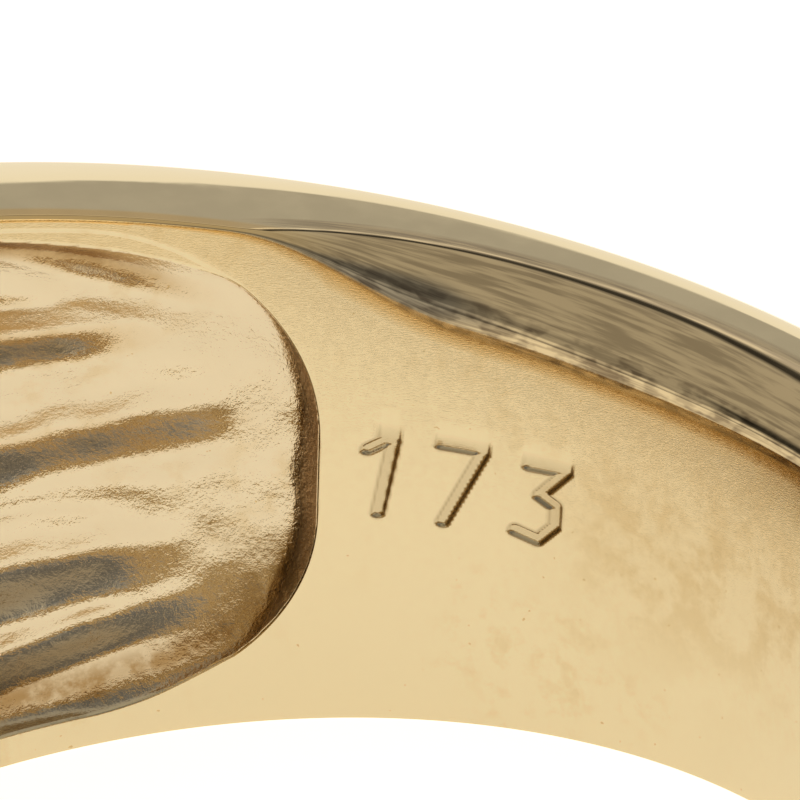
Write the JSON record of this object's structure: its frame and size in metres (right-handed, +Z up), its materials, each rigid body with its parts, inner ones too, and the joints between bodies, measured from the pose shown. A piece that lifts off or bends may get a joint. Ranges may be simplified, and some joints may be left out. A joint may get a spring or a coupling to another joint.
{
  "type": "cluster cocktail ring",
  "caption": "Wide domed finger ring with a hollowed head, raised bands fanning over it, rows of small round stones, and a softened shank.",
  "frame": {"origin": "middle of the footprint, on the surface that the ring lies on", "axes": "+Z up from that surface; -X from the finger hole towards the head; +Y to the shoulder that the picture shows"},
  "size_m": [0.0236, 0.0232, 0.0099],
  "materials": {
    "yellow_gold": "polished outside, satin with fine scratches in the finger hole, rough as cast in the hollow",
    "stone": "clear, facetted and polished"
  },
  "bodies": {
    "root": {"ring_body": "yellow_gold", "stone_1_1": "stone", "stone_1_2": "stone", "stone_1_3": "stone", "stone_1_4": "stone", "stone_1_5": "stone", "stone_1_6": "stone", "stone_1_7": "stone", "stone_2_1": "stone", "stone_2_2": "stone", "stone_2_3": "stone", "stone_2_4": "stone", "stone_2_5": "stone", "stone_2_6": "stone", "stone_2_7": "stone", "stone_2_8": "stone", "stone_3_1": "stone", "stone_3_2": "stone", "stone_3_3": "stone", "stone_3_4": "stone", "stone_3_5": "stone", "stone_3_6": "stone", "stone_3_7": "stone", "stone_3_8": "stone", "stone_3_9": "stone", "stone_4_1": "stone", "stone_4_2": "stone", "stone_4_3": "stone", "stone_4_4": "stone", "stone_4_5": "stone", "stone_4_6": "stone", "stone_4_7": "stone", "stone_4_8": "stone", "stone_5_1": "stone", "stone_5_2": "stone", "stone_5_3": "stone", "stone_5_4": "stone", "stone_5_5": "stone", "stone_5_6": "stone", "stone_5_7": "stone"}
  },
  "joints": []
}
